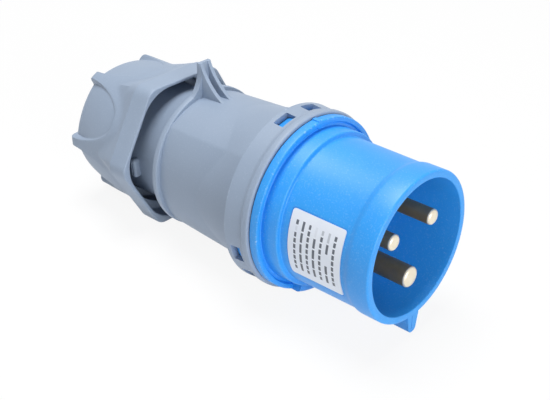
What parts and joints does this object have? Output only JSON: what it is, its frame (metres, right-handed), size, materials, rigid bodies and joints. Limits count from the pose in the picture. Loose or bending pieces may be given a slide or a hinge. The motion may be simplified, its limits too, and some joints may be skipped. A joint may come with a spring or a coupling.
{
  "type": "industrial plug",
  "caption": "Round pin-and-sleeve power plug: keyed blue shroud around brass pins, grey faceted housing with a horn, and a screwed cable gland with a hexagonal nut.",
  "frame": {"origin": "centre of the shroud's front rim, on the plug's axis", "axes": "+X along the plug's axis towards the pins, the way a socket leaves; +Z away from the key, so the earth pin and the key are at -Z"},
  "size_m": [0.157, 0.07, 0.0764],
  "materials": {
    "blue_polyamide": "moulded, fine grain",
    "grey_polyamide": "moulded, fine grain",
    "carrier_polyamide": "moulded",
    "brass": "turned",
    "plated_steel": "zinc plated",
    "seal_rubber": "moulded",
    "label_film": "satin film"
  },
  "bodies": {
    "plug": {"shroud": "blue_polyamide", "label": "label_film", "contact_carrier": "carrier_polyamide", "carrier_screws": "plated_steel", "housing": "grey_polyamide", "housing_seal": "seal_rubber", "clamp_cage": "grey_polyamide", "gland_seal": "seal_rubber", "line_pin": "brass", "neutral_pin": "brass", "earth_pin": "brass", "line_front_screw": "plated_steel", "line_rear_screw": "plated_steel", "neutral_front_screw": "plated_steel", "neutral_rear_screw": "plated_steel", "earth_front_screw": "plated_steel", "earth_rear_screw": "plated_steel"},
    "thrust": {"thrust_ring": "grey_polyamide"},
    "nut": {"gland_nut": "grey_polyamide"}
  },
  "joints": [
    {"name": "ring_slide", "type": "slide", "parent": "plug", "child": "thrust", "axis": [1, 0, 0], "range_m": [-0.0031, 0.0096]},
    {"name": "nut_turn", "type": "hinge", "parent": "thrust", "child": "nut", "pos_m": [-0.135, 0, 0], "axis": [1, 0, 0], "range_deg": [-270, 855]}
  ],
  "couplings": [
    {"joint": "ring_slide", "follows": "nut_turn", "m_per_rad": 0.00063662}
  ]
}
